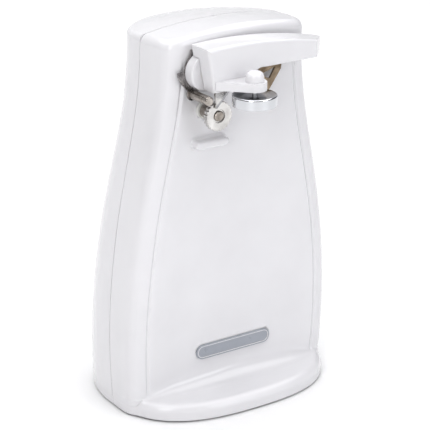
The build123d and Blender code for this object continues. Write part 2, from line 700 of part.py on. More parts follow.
with BuildPart() as rotor_core:
    bore(ROTOR_AXIS, ROTOR_RADIUS, STATOR_Y[0], STATOR_Y[1], Mode.ADD)
    bore(ROTOR_AXIS, ROTOR_SHAFT_RADIUS, 0, 40)
save(rotor_core, "rotor_core")

with BuildPart() as rotor_shaft:
    bore(ROTOR_AXIS, ROTOR_SHAFT_RADIUS, 1.0, 39.0, Mode.ADD)
    bore(ROTOR_AXIS, ROTOR_SHAFT_RADIUS - 0.6, GEAR_1_Y[0], 1.0, Mode.ADD)
save(rotor_shaft, "rotor_shaft")

STONE_RADIUS = 9.5
with BuildPart() as sharpening_stones:
    for y0, y1 in [(33.0, 35.4), (35.8, 38.2)]:
        bore(ROTOR_AXIS, STONE_RADIUS, y0, y1, Mode.ADD)
    chamfer(
        sharpening_stones.edges().filter_by(GeomType.CIRCLE).filter_by(
            lambda e: 35.3 < e.center().Y < 35.9 and e.radius > 9
        ),
        1.2,
    )
    bore(ROTOR_AXIS, ROTOR_SHAFT_RADIUS, 30, 40)
save(sharpening_stones, "sharpening_stones")

with BuildPart() as stone_spacer:
    bore(ROTOR_AXIS, 4.0, 31.5, 33.0, Mode.ADD)
    bore(ROTOR_AXIS, 4.0, 35.4, 35.8, Mode.ADD)
    bore(ROTOR_AXIS, ROTOR_SHAFT_RADIUS, 30, 40)
save(stone_spacer, "stone_spacer")

# ---------------------------------------------------------------- guide plate and post
GUIDE_TAB = [(-34.8, 221.0), (-34.8, 218.1)]
GUIDE_NECK = [GUIDE_TAB[1], (-37.6, 214.0), (-39.1, 209.4)]
GUIDE_CRESCENT = [(-43.3, 208.6), (-42.8, 205.4), (-40.4, 201.6), (-36.6, 197.2)]
GUIDE_BACK = [(HUB_AXIS[0], 196.6), (HUB_AXIS[0], GUIDE_TAB[0][1])]
with BuildPart() as guide_plate:
    with BuildSketch(front_plane(GUIDE_PLATE_Y[1])):
        with BuildLine():
            Line(*GUIDE_TAB)
            Spline(*GUIDE_NECK)
            Line(GUIDE_NECK[-1], GUIDE_CRESCENT[0])
            Spline(*GUIDE_CRESCENT)
            Line(GUIDE_CRESCENT[-1], GUIDE_BACK[0])
            Line(*GUIDE_BACK)
            Line(GUIDE_BACK[1], GUIDE_TAB[0])
        make_face()
        with Locations(POST_AXIS):
            Circle(3.7)
        with Locations(HUB_AXIS):
            Circle(STEM_RADIUS + 0.7, mode=Mode.SUBTRACT)
    extrude(amount=GUIDE_PLATE_Y[1] - GUIDE_PLATE_Y[0])
    bore(POST_AXIS, 2.0, -30, -20)
    bar(-41.4, -38.6, GUIDE_PLATE_Y[0], -21.0, 204.5, 205.5)
save(guide_plate, "guide_plate")

with BuildPart() as guide_post:
    bore(POST_AXIS, 2.0, GUIDE_PLATE_Y[0], PLATE_Y[1] + 0.6, Mode.ADD)
    bore(POST_AXIS, POST_RADIUS, -43.4, GUIDE_PLATE_Y[0], Mode.ADD)
    fillet(guide_post.edges().group_by(Axis.Y)[0], 0.8)
    bore(POST_AXIS, POST_RADIUS + 1, -39.4, -38.8)
    bore(POST_AXIS, POST_RADIUS - 0.3, -39.5, -38.7, Mode.ADD)
save(guide_post, "guide_post")

# ---------------------------------------------------------------- lever hub, key and switch
with BuildPart() as lever_hub:
    bore(HUB_AXIS, HUB_RADIUS, HUB_Y[0], HUB_Y[1], Mode.ADD)
    fillet(lever_hub.edges().group_by(Axis.Y)[0], 1.2)
    bore(HUB_AXIS, STEM_RADIUS, HUB_Y[1], -19.0, Mode.ADD)
    bore(HUB_AXIS, KEY_RADIUS + RUNNING_CLEARANCE, -40, -10)
save(lever_hub, "lever_hub")

with BuildPart() as hub_cam:
    bore(HUB_AXIS, 10.4, CAM_Y[0], CAM_Y[1], Mode.ADD)
    bar(HUB_AXIS[0], SPRING_X + 2.5, CAM_Y[0], CAM_Y[1], CAM_BOTTOM, CAM_BOTTOM + 4)
    bore(HUB_AXIS, STEM_RADIUS, -30, -10)
save(hub_cam, "hub_cam")

with BuildPart() as lever_key:
    bore(HUB_AXIS, KEY_RADIUS, HUB_Y[0], -17.6, Mode.ADD)
    bar(
        HUB_AXIS[0] - KEY_SIDE / 2, HUB_AXIS[0] + KEY_SIDE / 2, -41.0, HUB_Y[0],
        HUB_AXIS[1] - KEY_SIDE / 2, HUB_AXIS[1] + KEY_SIDE / 2,
    )
    chamfer(lever_key.faces().sort_by(Axis.Y)[0].edges(), 0.7)
save(lever_key, "lever_key")

with BuildPart() as key_clip:
    bore(HUB_AXIS, 7.0, -18.7, -18.0, Mode.ADD)
    bore(HUB_AXIS, KEY_RADIUS, -30, -10)
save(key_clip, "key_clip")

SPRING_TURNS = 6
SPRING_MEAN = 1.7
SPRING_WIRE = 0.3
with BuildPart() as return_spring:
    spring_length = CAM_BOTTOM - SPRING_SEAT_Z - 2 * SPRING_WIRE - 0.1
    with BuildLine(Plane((SPRING_X, SPRING_Y, SPRING_SEAT_Z + SPRING_WIRE + 0.05))) as spring_path:
        Helix(spring_length / SPRING_TURNS, spring_length, SPRING_MEAN)
    with BuildSketch(Plane(origin=spring_path.line @ 0, z_dir=spring_path.line % 0)):
        Circle(SPRING_WIRE)
    sweep(path=spring_path.line, is_frenet=True)
save(return_spring, "return_spring")

with BuildPart() as switch_body:
    bar(SWITCH_X[0], SWITCH_X[1], SWITCH_Y[0], SWITCH_Y[1], SWITCH_Z[0], SWITCH_Z[1])
    half = PLUNGER_SIDE / 2 + 0.05
    middle_y = (SWITCH_Y[0] + SWITCH_Y[1]) / 2
    bar(
        PLUNGER_X - half, PLUNGER_X + half, middle_y - half, middle_y + half, 195.6, 201, Mode.SUBTRACT,
    )
save(switch_body, "switch_body")

with BuildPart() as switch_plunger:
    half = PLUNGER_SIDE / 2
    bar(
        PLUNGER_X - half, PLUNGER_X + half, middle_y - half, middle_y + half, 198.0, CAM_BOTTOM - 0.4,
    )
    fillet(switch_plunger.edges().group_by(Axis.Z)[-1], 0.6)
save(switch_plunger, "switch_plunger")

TERMINAL_XS = [-12.4, -7.8]
with BuildPart() as switch_terminals:
    for x in TERMINAL_XS:
        bar(x - 1.2, x + 1.2, middle_y - 0.4, middle_y + 0.4, SWITCH_Z[0] - 5, SWITCH_Z[0])
save(switch_terminals, "switch_terminals")

LEAD_RADIUS = 0.7
LEAD_X = -7.8
with BuildPart() as switch_lead:
    with BuildLine() as lead_path:
        FilletPolyline(
            (LEAD_X, middle_y, SWITCH_Z[0] - 5),
            (LEAD_X, middle_y, 117.5),
            (LEAD_X, 5.5, 117.5),
            (LEAD_X, 5.5, LUG_Z[0]),
            radius=2.2,
        )
    with BuildSketch(Plane(origin=lead_path.line @ 0, z_dir=lead_path.line % 0)):
        Circle(LEAD_RADIUS)
    sweep(path=lead_path.line)
save(switch_lead, "switch_lead")

# ---------------------------------------------------------------- lever
BLADE_POINTS = [(-28.4, 205.0), (-13.6, 205.0), (-13.6, 201.9), (-26.2, 189.2), (-27.3, 189.2), (-28.2, 198.0)]
LEVER_TOP_LEFT = (-35.4, 224.8)
LEVER_TOP_MIDDLE = (2.0, 224.8)
LEVER_TOP_RIGHT = (52.0, 217.0)
LEVER_LOW_RIGHT = (52.0, 209.2)
LEVER_LOW_LEFT = (-30.8, 199.4)
LEVER_LOW_MIDDLE = (-13.0, 199.4)
LEVER_ARM_START = (4.0, 209.2)
LEVER_TAPER = ((39.6, LEVER_Y[0]), (52.0, -31.0))   # x, y of the slanted end
RIVETS = [(-12.6, 214.5), (28.5, 212.5)]
RIVET_RADIUS = 1.2
HOLDER_PINS = [(-25.5, 203.8), (-19.5, 203.8)]
PIN_RADIUS = 1.0


with BuildPart() as lever_handle:
    with BuildSketch(front_plane(LEVER_Y[1])):
        with BuildLine():
            ThreePointArc(LEVER_TOP_LEFT, LEVER_TOP_MIDDLE, LEVER_TOP_RIGHT)
            Line(LEVER_TOP_RIGHT, LEVER_LOW_RIGHT)
            Line(LEVER_LOW_RIGHT, LEVER_ARM_START)
            Spline(LEVER_ARM_START, (-3.0, 207.4), (-8.5, 202.2), LEVER_LOW_MIDDLE)
            Line(LEVER_LOW_MIDDLE, LEVER_LOW_LEFT)
            Line(LEVER_LOW_LEFT, LEVER_TOP_LEFT)
        make_face()
    extrude(amount=LEVER_Y[1] - LEVER_Y[0])
    (taper_x, taper_y), (end_x, end_y) = LEVER_TAPER
    with BuildSketch(Plane.XY.offset(190)):
        with BuildLine():
            Polyline((taper_x, taper_y), (end_x, end_y), (end_x + 5, end_y), (end_x + 5, taper_y - 5), close=True)
        make_face()
    extrude(amount=60, mode=Mode.SUBTRACT)
    fillet(lever_handle.faces().sort_by(Axis.Y)[0].edges(), 1.8)
    # back pockets: for the hub, for its square key, and the hollow of the arm
    bore(HUB_AXIS, HUB_RADIUS + 0.3, HUB_Y[0] - 0.3, -20)
    bar(
        HUB_AXIS[0] - KEY_SIDE / 2 - 0.05, HUB_AXIS[0] + KEY_SIDE / 2 + 0.05, -41.4, -30,
        HUB_AXIS[1] - KEY_SIDE / 2 - 0.05, HUB_AXIS[1] + KEY_SIDE / 2 + 0.05, Mode.SUBTRACT,
    )
    prism([(-9.5, 211.4), (24, 211.4), (24, 219.8), (-9.5, 222.0)], -41.5, LEVER_Y[1], Mode.SUBTRACT)
    prism([(33, 211.4), (42, 211.4), (42, 216.6), (33, 218.4)], -36.0, LEVER_Y[1], Mode.SUBTRACT)
    prism(BLADE_POINTS, BLADE_Y[0], BLADE_Y[1], Mode.SUBTRACT)
    for axis in RIVETS:
        bore(axis, RIVET_RADIUS, CUTTER_PLATE_Y[0] - 5, CUTTER_PLATE_Y[0])
    for axis in HOLDER_PINS:
        bore(axis, PIN_RADIUS, LEVER_Y[0], LEVER_Y[0] + 2.8)
save(lever_handle, "lever_handle")

with BuildPart() as cutter_blade:
    prism(BLADE_POINTS, BLADE_Y[0], BLADE_Y[1])
save(cutter_blade, "cutter_blade")

with BuildPart() as cutter_plate:
    with BuildSketch(front_plane(CUTTER_PLATE_Y[1])):
        with BuildLine():
            Polyline(
                (-14.6, 210.0), (-14.6, 218.0), (32.0, 216.0), (32.0, 207.6), (27.0, 204.0), (26.5, 201.0),
                (17.4, 188.4), (16.4, 190.1), (16.0, 194.0), (13.6, 196.6), (11.6, 202.0), (9.0, 210.0),
                close=True,
            )
        make_face()
        with BuildLine() as window:
            Polyline((14.2, 200.4), (22.6, 202.8), (18.8, 196.6), (15.8, 197.4), close=True)
        make_face(window.edges(), mode=Mode.SUBTRACT)
    extrude(amount=CUTTER_PLATE_Y[1] - CUTTER_PLATE_Y[0])
    for axis in RIVETS:
        bore(axis, RIVET_RADIUS, -30, -20)
save(cutter_plate, "cutter_plate")

with BuildPart() as lever_rivets:
    for axis in RIVETS:
        bore(axis, RIVET_RADIUS, CUTTER_PLATE_Y[0] - 5, CUTTER_PLATE_Y[1], Mode.ADD)
        bore(axis, 2.2, CUTTER_PLATE_Y[1], CUTTER_PLATE_Y[1] + 0.4, Mode.ADD)
save(lever_rivets, "lever_rivets")


def holder_outline():
    """Plan of the magnet holder: a plate on the lever's face that narrows to a round end."""
    with BuildSketch(Plane.XY.offset(HOLDER_Z[0])) as outline:
        with BuildLine():
            Line((-30.6, LEVER_Y[0]), (-1.2, LEVER_Y[0]))
            CenterArc(MAGNET_AXIS, HOLDER_RADIUS, 0, 360)
        make_hull()
    return outline.sketch


with BuildPart() as magnet_holder:
    add(holder_outline())
    extrude(amount=HOLDER_Z[1] - HOLDER_Z[0])
    with BuildSketch(Plane.XY.offset(HOLDER_Z[1])):
        with Locations(MAGNET_AXIS):
            Circle(DOME_RADIUS)
    extrude(amount=DOME_HEIGHT)
    fillet(magnet_holder.edges().group_by(Axis.Z)[-1], 3.0)
    with Locations((MAGNET_AXIS[0], MAGNET_AXIS[1], BALL_Z)):
        Sphere(2.7, mode=Mode.SUBTRACT)
    with Locations((MAGNET_AXIS[0], MAGNET_AXIS[1], HOLDER_Z[0])):
        Cylinder(2.5, 2 * (BALL_Z - HOLDER_Z[0]), mode=Mode.SUBTRACT)
    for axis in HOLDER_PINS:
        bore(axis, PIN_RADIUS, LEVER_Y[0] - 4.2, LEVER_Y[0])
save(magnet_holder, "magnet_holder")

with BuildPart() as holder_pins:
    for axis in HOLDER_PINS:
        bore(axis, PIN_RADIUS, LEVER_Y[0] - 4.2, LEVER_Y[0] + 2.8, Mode.ADD)
save(holder_pins, "holder_pins")

# ---------------------------------------------------------------- lid magnet
with BuildPart() as magnet_cup:
    with BuildSketch(Plane.XY.offset(MAGNET_Z[0])):
        with Locations(MAGNET_AXIS):
            Circle(MAGNET_RADIUS)
    extrude(amount=MAGNET_Z[1] - MAGNET_Z[0])
    fillet(magnet_cup.edges().group_by(Axis.Z)[-1], 0.8)
    with BuildSketch(Plane.XY.offset(MAGNET_Z[0])):
        with Locations(MAGNET_AXIS):
            Circle(MAGNET_RADIUS - 1.4)
    extrude(amount=5.0, mode=Mode.SUBTRACT)
save(magnet_cup, "magnet_cup")

with BuildPart() as magnet_disc:
    with BuildSketch(Plane.XY.offset(MAGNET_Z[0] + 0.2)):
        with Locations(MAGNET_AXIS):
            Circle(MAGNET_RADIUS - 1.4)
    extrude(amount=4.8)
save(magnet_disc, "magnet_disc")

with BuildPart() as magnet_stem:
    with BuildSketch(Plane.XY.offset(MAGNET_Z[1])):
        with Locations(MAGNET_AXIS):
            Circle(1.5)
    extrude(amount=BALL_Z - MAGNET_Z[1])
    with Locations((MAGNET_AXIS[0], MAGNET_AXIS[1], BALL_Z)):
        Sphere(2.2)
save(magnet_stem, "magnet_stem")
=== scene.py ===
import json
from math import cos, pi, radians, sin

import bpy
import numpy as np
from mathutils import Matrix, Vector


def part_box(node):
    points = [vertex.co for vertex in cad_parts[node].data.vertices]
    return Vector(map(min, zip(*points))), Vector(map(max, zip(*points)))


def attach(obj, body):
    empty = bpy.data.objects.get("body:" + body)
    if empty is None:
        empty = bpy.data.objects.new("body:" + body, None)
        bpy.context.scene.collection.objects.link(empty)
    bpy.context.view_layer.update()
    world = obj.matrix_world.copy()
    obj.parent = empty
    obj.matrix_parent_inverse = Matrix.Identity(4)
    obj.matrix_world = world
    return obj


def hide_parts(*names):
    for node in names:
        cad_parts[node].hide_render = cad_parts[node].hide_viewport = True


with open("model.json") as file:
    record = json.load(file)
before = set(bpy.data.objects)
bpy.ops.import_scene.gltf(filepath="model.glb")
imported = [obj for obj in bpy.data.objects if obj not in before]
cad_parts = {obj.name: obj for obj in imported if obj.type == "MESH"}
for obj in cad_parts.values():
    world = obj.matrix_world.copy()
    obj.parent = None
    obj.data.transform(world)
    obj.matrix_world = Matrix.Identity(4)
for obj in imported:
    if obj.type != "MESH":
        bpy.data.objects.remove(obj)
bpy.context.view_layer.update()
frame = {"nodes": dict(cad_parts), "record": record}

MM = 0.001

# ---------------------------------------------------------------- camera (metres)
CAMERA_PLACE = (-0.6118, -0.88155, 0.5098)
CAMERA_RIGHT = (0.83174, -0.55516, 0.0)
CAMERA_UP = (0.19415, 0.29087, 0.93686)
CAMERA_BACK = (-0.52011, -0.77922, 0.34971)
SENSOR = 36.0            # mm
LENS = 161.1             # mm
CAMERA_SHIFT = (0.0778, -0.005)

camera_data = bpy.data.cameras.new("camera")
camera_data.sensor_width = SENSOR
camera_data.lens = LENS
camera_data.shift_x, camera_data.shift_y = CAMERA_SHIFT
camera_data.clip_start = 0.05
camera_data.clip_end = 20.0
camera = bpy.data.objects.new("camera", camera_data)
bpy.context.scene.collection.objects.link(camera)
camera.matrix_world = Matrix((
    (CAMERA_RIGHT[0], CAMERA_UP[0], CAMERA_BACK[0], CAMERA_PLACE[0]),
    (CAMERA_RIGHT[1], CAMERA_UP[1], CAMERA_BACK[1], CAMERA_PLACE[1]),
    (CAMERA_RIGHT[2], CAMERA_UP[2], CAMERA_BACK[2], CAMERA_PLACE[2]),
    (0, 0, 0, 1),
))
bpy.context.scene.camera = camera

# ---------------------------------------------------------------- dimensions shared with the CAD (mm)
SEAM_Y = 3.75
SEAM_GAP = 0.14          # half the hairline left between the shells
SKIRT_Z = 1.2            # lower edge of both shells
FRONT_POWER = 7.0
# height, half width, depth in front of the seam
STATIONS = np.array([
    (0.0, 70.0, 23.4),
    (20.0, 71.4, 24.6),
    (45.0, 72.0, 25.6),
    (85.0, 69.6, 26.6),
    (130.0, 62.8, 26.8),
    (170.0, 54.6, 27.2),
    (200.0, 50.2, 28.2),
    (234.0, 49.2, 29.2),
])
HEIGHT = 230.0
CAP_RADIUS = 272.0
CAP_Y = -16.0
SHOULDER = 5.0           # radius where the walls turn into the domed top
WALL = 2.2
PANEL_MARGIN = 11.2
PANEL_HOLLOW = 1.5       # how far the front panel dips behind its rims
HOLLOW_REACH = 11.0      # distance over which it gets there
GROOVE_DEPTH = 1.0       # the line that outlines the panel
GROOVE_HALF = 0.85
PANEL_TOP = 217.0
PANEL_FADE_TOP = 16.0    # height over which the hollow and the groove fade out below PANEL_TOP
PANEL_FADE_FOOT = 6.0    # and over which they start above the toe
PANEL_FRONT_Y = -15.0    # only points in front of this belong to the panel
TOE_HALF_WIDTH = 70.4
TOE_DEPTH = 52.2
TOE_POWER = 2.6
TOE_TOP = 11.0
TOE_NOSE = 5.0
COVE = 11.0              # largest radius of the hollow corner where the toe's top meets the panel
TOE_BLEND = 60.0         # how sharply the toe's outline joins the body's
TOE_SIDE_FADE = 0.22     # forward share of a column's direction at which it has the whole toe


def smooth_step(x):
    x = np.clip(x, 0.0, 1.0)
    return x * x * (3 - 2 * x)


def natural_spline(x, y):
    """A natural cubic spline through points, as a function."""
    n = len(x)
    h = np.diff(x)
    a = np.eye(n)
    b = np.zeros(n)
    for i in range(1, n - 1):
        a[i, i - 1], a[i, i], a[i, i + 1] = h[i - 1], 2 * (h[i - 1] + h[i]), h[i]
        b[i] = 6 * ((y[i + 1] - y[i]) / h[i] - (y[i] - y[i - 1]) / h[i - 1])
    m = np.linalg.solve(a, b)

    def value(t):
        k = np.clip(np.searchsorted(x, t) - 1, 0, n - 2)
        lo, hi = x[k + 1] - t, t - x[k]
        return (
            (m[k] * lo ** 3 + m[k + 1] * hi ** 3) / (6 * h[k])
            + (y[k] / h[k] - m[k] * h[k] / 6) * lo + (y[k + 1] / h[k] - m[k + 1] * h[k] / 6) * hi
        )
    return value


half_width_at = natural_spline(STATIONS[:, 0], STATIONS[:, 1])
front_depth_at = natural_spline(STATIONS[:, 0], STATIONS[:, 2])


def top_z(x, y):
    """Height of the domed top."""
    return HEIGHT - CAP_RADIUS + np.sqrt(CAP_RADIUS ** 2 - x ** 2 - (y - CAP_Y) ** 2)


# ---------------------------------------------------------------- mesh helpers
def new_piece(name, vertices, faces, slot_name, body):
    """A mesh piece from points in millimetres."""
    mesh = bpy.data.meshes.new(name)
    mesh.from_pydata([tuple(v) for v in np.asarray(vertices) * MM], [], faces)
    mesh.validate()
    piece = bpy.data.objects.new(name, mesh)
    bpy.context.scene.collection.objects.link(piece)
    if slot_name:
        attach(piece, body)
    return piece


def outline_loft(name, rings):
    """A closed mesh through rings of equal length, with a flat face on each end."""
    count = len(rings[0])
    faces = []
    for k in range(len(rings) - 1):
        for i in range(count):
            j = (i + 1) % count
            faces.append((k * count + i, k * count + j, (k + 1) * count + j, (k + 1) * count + i))
    faces.append(tuple(range(count))[::-1])
    faces.append(tuple((len(rings) - 1) * count + i for i in range(count)))
    return new_piece(name, np.concatenate(rings), faces, None, None)


def cut_out(piece, tool):
    """Cuts a tool mesh out of a piece, and drops the tool."""
    modifier = piece.modifiers.new("cut", "BOOLEAN")
    modifier.operation = "DIFFERENCE"
    modifier.solver = "EXACT"
    modifier.object = tool
    result = bpy.data.meshes.new_from_object(piece.evaluated_get(bpy.context.evaluated_depsgraph_get()))
    piece.modifiers.clear()
    piece.data = result
    bpy.data.objects.remove(tool)


def smooth_shaded(piece, angle=35.0):
    """Smooth shading with edges sharper than the angle kept."""
    mesh = piece.data
    mesh.polygons.foreach_set("use_smooth", [True] * len(mesh.polygons))
    mesh.set_sharp_from_angle(angle=radians(angle))


def slot_ring(centre, length, height, y, grow=0.0, steps=16):
    """A ring of points in the shape of a round-ended slot, at one depth."""
    radius = height / 2 + grow
    reach = (length - height) / 2
    ring = []
    for side in (1, -1):
        for i in range(steps + 1):
            turn = pi * i / steps - pi / 2
            across = reach + radius * cos(turn)
            ring.append((centre[0] + side * across, y, centre[1] + side * radius * sin(turn)))
    return np.array(ring)


def disc_ring(centre, radius, y, steps=48):
    """A ring of points round a circle, at one depth."""
    turns = np.linspace(0, 2 * pi, steps, endpoint=False)
    x = centre[0] + radius * np.cos(turns)
    z = centre[1] + radius * np.sin(turns)
    return np.stack([x, np.full(steps, y), z], 1)


# ---------------------------------------------------------------- front shell
SIDE_STEPS = [0.0, 0.004, 0.010, 0.022, 0.05, 0.11, 0.20, 0.32, 0.45, 0.58, 0.70, 0.79, 0.86]
CORNER_STEPS = 16
BORDER_STEPS = 14
BORDER = 1.9             # half the width over which the panel steps in
PANEL_STEPS = 26


def front_rows(z, inset):
    """Points across the front half at each height in z (any shape), from +X to -X: shape z + (n, 2)."""
    z = np.asarray(z, float)[..., None]
    w = half_width_at(z) - inset
    d = front_depth_at(z) - inset
    p = FRONT_POWER
    side_y = np.array(SIDE_STEPS) * np.ones_like(z)
    side_x = (1 - side_y ** p) ** (1 / p)
    border_x = (w - PANEL_MARGIN + inset) / w
    from_turn = np.arccos((1 - SIDE_STEPS[-1] ** p) ** 0.5)
    to_turn = np.arccos((border_x + BORDER / w) ** (p / 2))
    share = np.arange(1, CORNER_STEPS + 1) / CORNER_STEPS
    turn = from_turn + (to_turn - from_turn) * share
    corner_x = np.cos(turn) ** (2 / p)
    step = np.linspace(1, -1, BORDER_STEPS + 1)[1:] * BORDER
    panel_x = border_x + step / w
    inner = np.linspace(1, 0, PANEL_STEPS + 1)[1:]
    flat_x = (border_x - BORDER / w) * inner
    half_x = np.concatenate([side_x, corner_x, panel_x, flat_x], -1)
    side_part = side_x.shape[-1]
    half_y = (1 - np.clip(half_x, 0, 1) ** p) ** (1 / p)
    half_y[..., :side_part] = side_y
    x = np.concatenate([half_x, -half_x[..., -2::-1]], -1) * w
    y = SEAM_Y - np.concatenate([half_y, half_y[..., -2::-1]], -1) * d
    return np.stack([x, y], -1)


def toe_reach(rows):
    """How far the toe stands out past the body in each column's direction, and that direction."""
    away = rows - np.array([0.0, SEAM_Y])
    distance = np.hypot(away[:, 0], away[:, 1])
    direction = away / distance[:, None]
    toe = (
        (np.abs(direction[:, 0]) / TOE_HALF_WIDTH) ** TOE_POWER
        + (np.abs(direction[:, 1]) / TOE_DEPTH) ** TOE_POWER
    ) ** (-1 / TOE_POWER)
    joined = (distance ** TOE_BLEND + toe ** TOE_BLEND) ** (1 / TOE_BLEND)
    return (joined - distance) * smooth_step(-direction[:, 1] / TOE_SIDE_FADE), direction


FULL_TOE = 6.0           # reach at which a column has the toe's whole height
# each height's value where there is no toe, and how much more it is on the whole toe
NOSE_FOOT = (3.5, 2.5)
NOSE_TOP = (6.0, 5.0)
COVE_FOOT = (10.5, 0.75)
LEAST_NOSE = 1.5
NOSE_SHARE = 0.5         # most of the reach that the nose's rounding takes
COVE_SHARE = 0.45        # most of the reach that the hollow corner takes
LEAST_COVE_HEIGHT = 3.25
FACE_STEPS, NOSE_STEPS, TOP_STEPS, COVE_STEPS = 5, 9, 13, 7


def steps_to(end, count, like):
    """Even steps from 0 up to, but without, the end, for each row of like."""
    return np.linspace(0, end, count + 1)[:-1] * np.ones_like(like)


def front_meridians(reach, inset):
    """Height and reach past the wall, from the skirt up over the toe and up the wall: two (n, m) arrays."""
    lift = smooth_step(reach / FULL_TOE)[:, None]
    reach = reach[:, None]
    nose = np.minimum(np.maximum(TOE_NOSE - inset, LEAST_NOSE), NOSE_SHARE * reach)
    cove = np.minimum(COVE + inset, COVE_SHARE * reach)
    low, high, foot = (flat + more * lift - inset * lift for flat, more in (NOSE_FOOT, NOSE_TOP, COVE_FOOT))
    end = foot + np.maximum(cove, LEAST_COVE_HEIGHT)
    face = steps_to(1, FACE_STEPS, reach)
    round_nose = steps_to(pi / 2, NOSE_STEPS, reach)
    top = steps_to(1, TOP_STEPS, reach)
    round_cove = steps_to(pi / 2, COVE_STEPS, reach)
    z = np.concatenate([
        SKIRT_Z + (low - SKIRT_Z) * face,
        low + (high - low) * np.sin(round_nose),
        high + (foot - high) * top,
        foot + (end - foot) * (1 - np.cos(round_cove)),
    ], 1)
    out = np.concatenate([
        reach * np.ones_like(face),
        reach - nose * (1 - np.cos(round_nose)),
        (reach - nose) + (cove - reach + nose) * top,
        cove * (1 - np.sin(round_cove)),
    ], 1)
    return z, out, end


WALL_ROWS = 64
SHOULDER_ROWS = 9
CAP_ROWS = 16
CROWN_Z = 226.0          # height at which the outline under the shoulder is taken
SHOULDER_SHARE = 0.6     # how much of an inset the shoulder's radius loses


def front_surface(inset):
    """The front half's surface as a grid (columns, rows, 3), ending in one point at the top of the seam."""
    reach, direction = toe_reach(front_rows(np.array(TOE_TOP), 0.0))
    z_low, out, end = front_meridians(reach, inset)
    n = len(reach)
    shoulder = SHOULDER - inset * SHOULDER_SHARE
    edge = front_rows(np.array(CROWN_Z), inset)
    crown = top_z(edge[:, 0], edge[:, 1]) - inset - shoulder
    share = np.linspace(0, 1, WALL_ROWS)
    z_wall = end + (crown[:, None] - end) * share
    z = np.concatenate([z_low, z_wall], 1)
    out = np.concatenate([out, np.zeros_like(z_wall)], 1)
    rows = front_rows(z, inset)
    grid = rows[np.arange(n), :, np.arange(n)] + direction[:, None, :] * out[..., None]
    wall = np.concatenate([grid, z[..., None]], -1)
    # over the shoulder and in to the middle of the seam
    last = wall[:, -1, :2]
    away = last - np.array([0.0, SEAM_Y])
    span = np.hypot(away[:, 0], away[:, 1])
    turn = np.linspace(0, pi / 2, SHOULDER_ROWS + 1)[1:]
    inwards = shoulder * (1 - np.cos(turn))
    run = np.linspace(0, 1, CAP_ROWS + 1)[1:]
    distance = np.concatenate([
        inwards[None, :] * np.ones((n, 1)),
        shoulder + (span[:, None] - shoulder) * run[None, :],
    ], 1)
    drop = np.concatenate([shoulder * (1 - np.sin(turn)), np.zeros(CAP_ROWS)])
    scale = 1 - distance / span[:, None]
    x = away[:, 0:1] * scale
    y = SEAM_Y + away[:, 1:2] * scale
    cap = np.stack([x, y, top_z(x, y) - inset - drop[None, :]], -1)
    return np.concatenate([wall, cap], 1)


def sink_panel(grid):
    """Sets the flat front back behind its rims and outlines it, fading out at the top and the toe."""
    x, z = np.abs(grid[..., 0]), grid[..., 2]
    border = half_width_at(np.clip(z, 0, STATIONS[-1, 0])) - PANEL_MARGIN
    within = border - x
    top = smooth_step((PANEL_TOP - z) / PANEL_FADE_TOP) * smooth_step((z - TOE_TOP + 1.0) / PANEL_FADE_FOOT)
    front = grid[..., 1] < PANEL_FRONT_Y
    hollow = PANEL_HOLLOW * (1 - np.exp(-np.maximum(within - 2 * GROOVE_HALF, 0) / HOLLOW_REACH))
    groove = GROOVE_DEPTH * np.exp(-(within / GROOVE_HALF) ** 2)
    grid[..., 1] += np.where(front, (hollow + groove) * top, 0)
    return grid


def shell_mesh(outer, inner):
    """A closed shell from two matching grids whose last rows are each one point."""
    n, m = outer.shape[:2]
    body = m - 1
    count = n * body + 1
    faces = []
    for base, flip in ((0, False), (count, True)):
        tip = base + n * body
        for i in range(n - 1):
            for j in range(body - 1):
                a = base + i * body + j
                b = base + (i + 1) * body + j
                quad = (a, a + 1, b + 1, b)
                faces.append(quad[::-1] if flip else quad)
            a = base + i * body + body - 1
            b = a + body
            triangle = (a, tip, b)
            faces.append(triangle[::-1] if flip else triangle)
    for i in range(n - 1):
        a, b = i * body, (i + 1) * body
        faces.append((a, b, b + count, a + count))
    for i, flip in ((0, True), (n - 1, False)):
        ring = [i * body + j for j in range(body)] + [n * body]
        for a, b in zip(ring, ring[1:]):
            quad = (a, b, b + count, a + count)
            faces.append(quad if not flip else quad[::-1])
    points = [outer[:, :-1].reshape(-1, 3), outer[0, -1:], inner[:, :-1].reshape(-1, 3), inner[0, -1:]]
    return np.concatenate(points), faces


LIP_DRAW = 0.35          # how far the edge at the seam is drawn in
LIP_WIDTH = 0.45         # distance from the seam over which it is
LIP_CENTRE_Z = 110.0     # the edge is drawn towards this height
LIP_LOWEST_Z = 20.0      # below this it is drawn only sideways


def seam_lip(grid):
    """Draws the edge beside the seam in, as a small rounding."""
    gap = SEAM_Y - grid[..., 1]
    draw = LIP_DRAW * (1 - smooth_step(gap / LIP_WIDTH))
    across = grid[..., 0].copy()
    along = grid[..., 2] - LIP_CENTRE_Z
    flat = np.hypot(across, along)
    grid[..., 0] -= draw * across / flat
    grid[..., 2] -= draw * along / flat * (grid[..., 2] > LIP_LOWEST_Z)
    return grid


